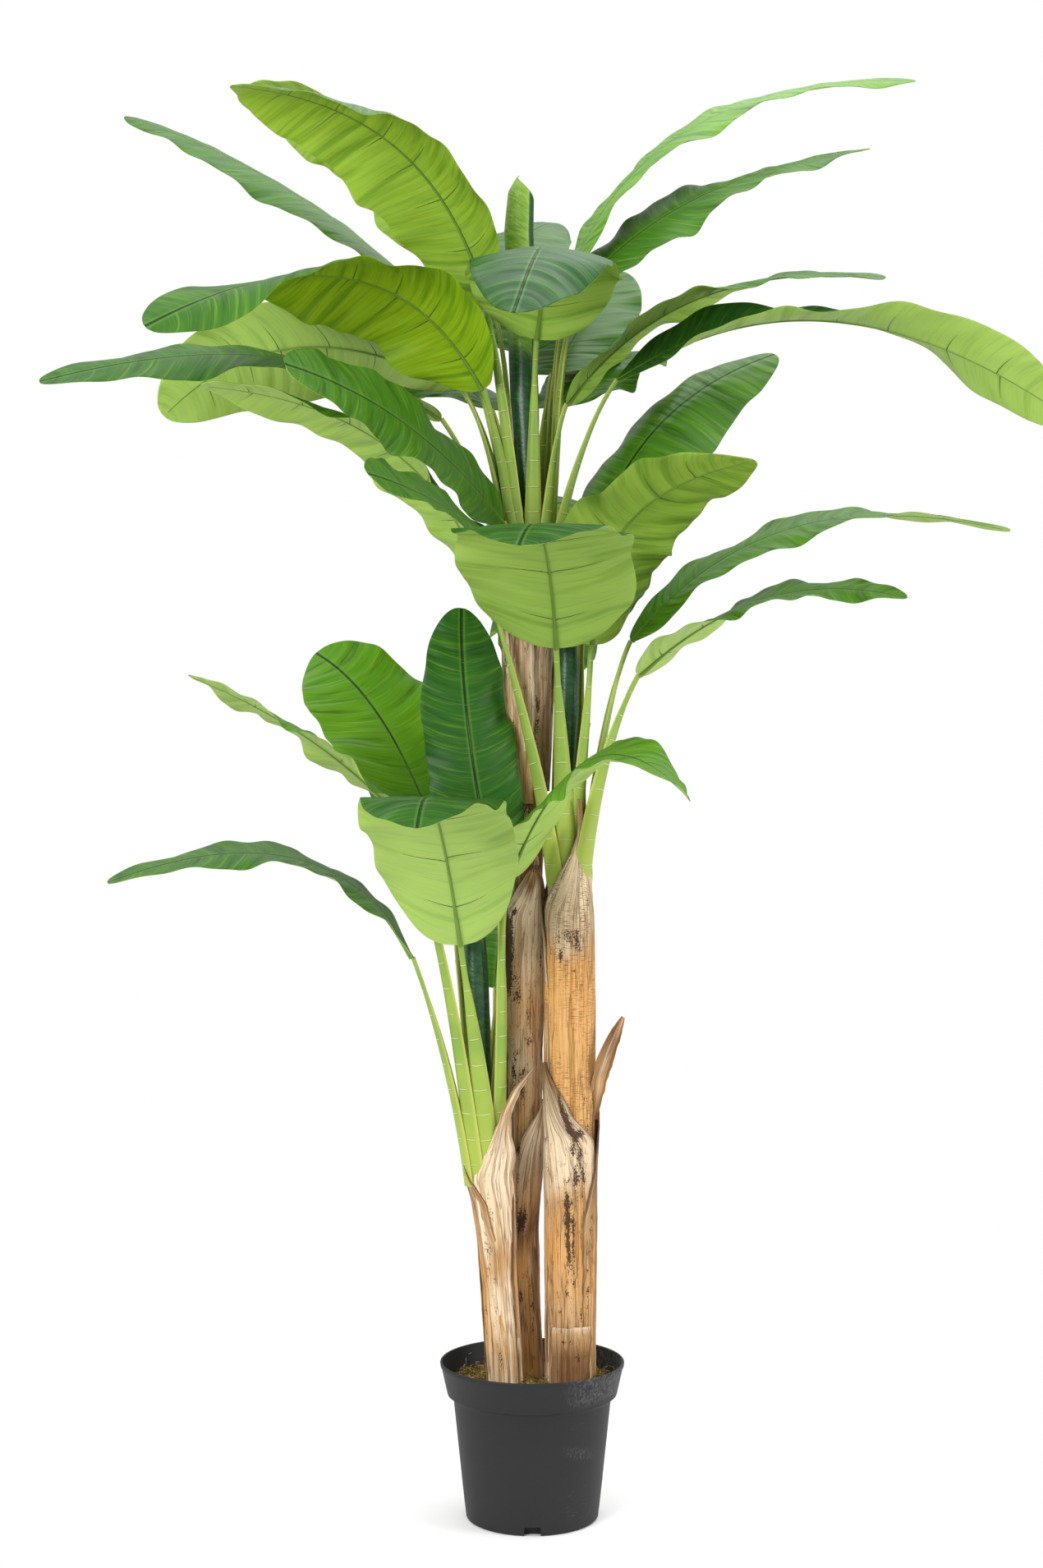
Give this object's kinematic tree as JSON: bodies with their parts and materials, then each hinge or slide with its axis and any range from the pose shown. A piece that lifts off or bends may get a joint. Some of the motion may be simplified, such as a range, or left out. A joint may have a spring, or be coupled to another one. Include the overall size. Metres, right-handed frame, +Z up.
{
  "type": "artificial banana plant in a nursery pot",
  "caption": "Tall artificial banana plant with bark-covered stems of stepped heights, crowns of long-stalked arching leaves, and a round plastic nursery pot.",
  "frame": {"origin": "centre of the pot's flat underside", "axes": "+Z up along the stems, -Y towards the viewer's side, +X to that viewer's right"},
  "size_m": [1.6108, 1.0323, 2.4834],
  "materials": {
    "pot_plastic": "matt moulded, lightly scuffed",
    "pot_fill": "rough, dark, mossy",
    "stem_bark": "dry fibrous bark, matt",
    "dry_sheath": "dry papery sheath, matt",
    "leaf": "satin printed",
    "rolled_leaf": "satin printed"
  },
  "bodies": {
    "root": {"fill": "pot_fill", "leaf_lower_01": "leaf", "leaf_lower_02": "leaf", "leaf_lower_03": "leaf", "leaf_lower_04": "leaf", "leaf_lower_05": "leaf", "leaf_lower_06": "leaf", "leaf_lower_07": "leaf", "leaf_lower_08": "leaf", "leaf_middle_01": "leaf", "leaf_middle_02": "leaf", "leaf_middle_03": "leaf", "leaf_middle_04": "leaf", "leaf_middle_05": "leaf", "leaf_middle_06": "leaf", "leaf_middle_07": "leaf", "leaf_middle_08": "leaf", "leaf_upper_01": "leaf", "leaf_upper_02": "leaf", "leaf_upper_03": "leaf", "leaf_upper_04": "leaf", "leaf_upper_05": "leaf", "leaf_upper_06": "leaf", "leaf_upper_07": "leaf", "leaf_upper_08": "leaf", "leaf_upper_09": "leaf", "leaf_upper_10": "leaf", "leaf_upper_11": "leaf", "leaf_upper_12": "leaf", "leaf_upper_13": "leaf", "leaf_upper_14": "leaf", "leaf_upper_15": "leaf", "leaf_upper_16": "leaf", "leaf_upper_17": "leaf", "leaf_upper_18": "leaf", "pot": "pot_plastic", "rolled_leaf_lower": "rolled_leaf", "rolled_leaf_middle": "rolled_leaf", "rolled_leaf_upper": "rolled_leaf", "sheath_lower_front": "dry_sheath", "sheath_middle_front": "dry_sheath", "sheath_middle_side": "dry_sheath", "sheath_middle_top": "dry_sheath", "sheath_upper_front": "dry_sheath", "sheath_upper_top": "dry_sheath", "stem_lower": "stem_bark", "stem_middle": "stem_bark", "stem_upper": "stem_bark"}
  },
  "joints": []
}
